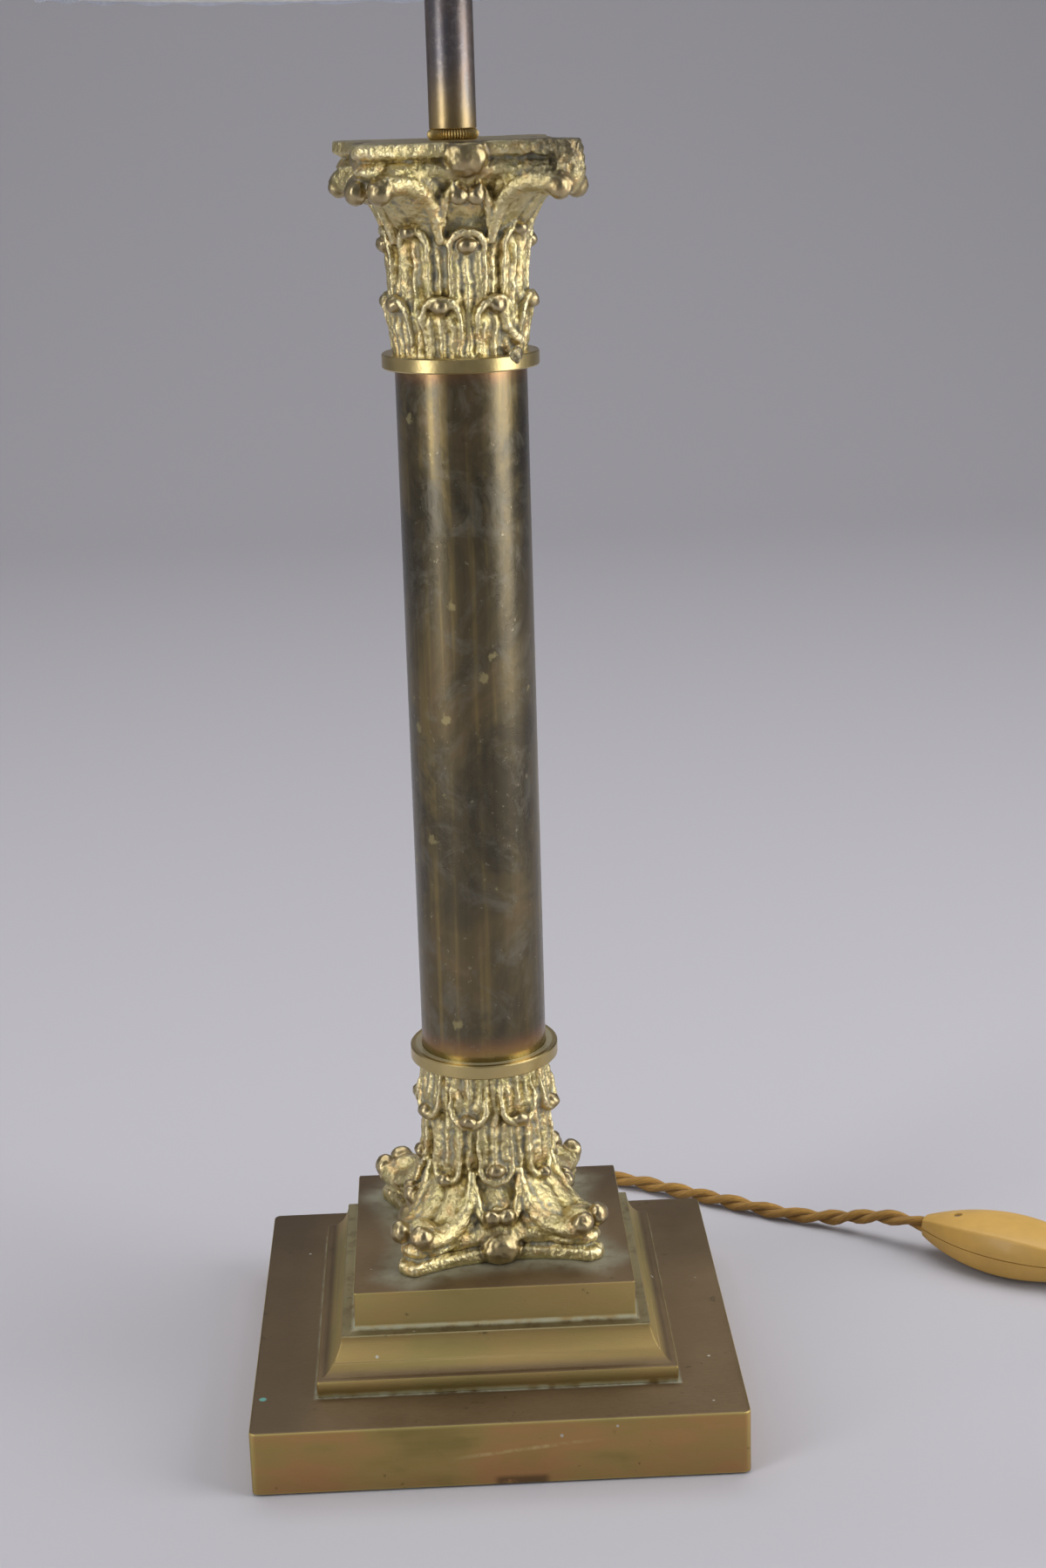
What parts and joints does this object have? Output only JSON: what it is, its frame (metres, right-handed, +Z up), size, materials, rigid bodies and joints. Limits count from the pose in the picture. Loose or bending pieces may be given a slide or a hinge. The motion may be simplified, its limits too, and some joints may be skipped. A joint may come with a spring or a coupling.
{
  "type": "column table lamp",
  "caption": "Brass table lamp: square stepped base, round column between leafy castings, tapered cloth shade, twisted cord with inline rocker switch and flat plug.",
  "frame": {"origin": "centre of the base's underside, on the table", "axes": "+Z up along the column; the base's front side faces -Y; the cord leaves the base towards +Y"},
  "size_m": [0.4306, 0.2942, 0.6124],
  "materials": {
    "base_brass": "brushed, tarnished brown and olive with polish left in its corners",
    "cast_brass": "cast, gilt on the high parts and dark in the hollows",
    "column_brass": "drawn tube, tarnished, heat-tinted near its ends",
    "stem_metal": "bronzed, dark and glossy, gold near its foot",
    "turned_brass": "turned and milled, bright",
    "zinc_steel": "zinc plated",
    "nickel": "nickel plated",
    "board": "pressed fibreboard",
    "felt": "dark green felt",
    "dark_plastic": "moulded",
    "holder_plastic": "moulded black phenolic",
    "ceramic": "glazed porcelain",
    "bulb_glass": "opal white",
    "shade_cloth": "gathered pale cloth, bluish white",
    "shade_wire": "white enamelled wire",
    "cord_silk": "gold braid on two twisted cores",
    "wire_red": "insulated core",
    "wire_black": "insulated core",
    "gold_plastic": "moulded, gold coloured",
    "white_plastic": "moulded white"
  },
  "bodies": {
    "lamp": {"base_slab": "base_brass", "stepped_plinth": "base_brass", "bottom_board": "board", "base_felt": "felt", "base_washer": "zinc_steel", "lock_washer": "zinc_steel", "base_nut": "zinc_steel", "cord_grommet": "dark_plastic", "cord_clamp": "dark_plastic", "clamp_screw": "zinc_steel", "lower_capital": "cast_brass", "upper_capital": "cast_brass", "column_tube": "column_brass", "centre_rod": "zinc_steel", "knurled_ring": "turned_brass", "stem_tube": "stem_metal", "stem_foot_bush": "turned_brass", "stem_head_bush": "turned_brass", "holder_nipple": "zinc_steel", "holder_cap": "holder_plastic", "holder_grub_screw": "zinc_steel", "holder_shell": "holder_plastic", "holder_insert": "ceramic", "lamp_thread": "turned_brass", "centre_contact": "turned_brass", "terminal_screws": "turned_brass", "shade_ring_lower": "holder_plastic", "shade_ring_upper": "holder_plastic", "bulb_cap": "nickel", "bulb_glass": "bulb_glass", "cord_lead": "cord_silk", "cord_tail": "cord_silk", "plug_lead": "cord_silk", "cord_coil": "cord_silk", "live_wire": "wire_red", "neutral_wire": "wire_black", "switch_back_shell": "gold_plastic", "switch_front_shell": "gold_plastic", "rocker_pin": "zinc_steel", "switch_screw": "zinc_steel", "switch_terminals": "turned_brass", "plug_body": "gold_plastic", "pin_sleeves": "gold_plastic", "plug_pins": "nickel"},
    "rocker": {"switch_rocker": "white_plastic"},
    "shade": {"shade_fabric": "shade_cloth", "shade_frame": "shade_wire", "shade_spider": "shade_wire"}
  },
  "joints": [
    {"name": "rocker_hinge", "type": "hinge", "parent": "lamp", "child": "rocker", "pos_m": [0.1865, 0.0509, 0.0054], "axis": [0.5878, 0.809, 0], "range_deg": [-14, 0]},
    {"name": "shade_turn", "type": "hinge", "parent": "lamp", "child": "shade", "pos_m": [0, 0, 0.4943], "axis": [0, 0, 1], "continuous": true}
  ]
}
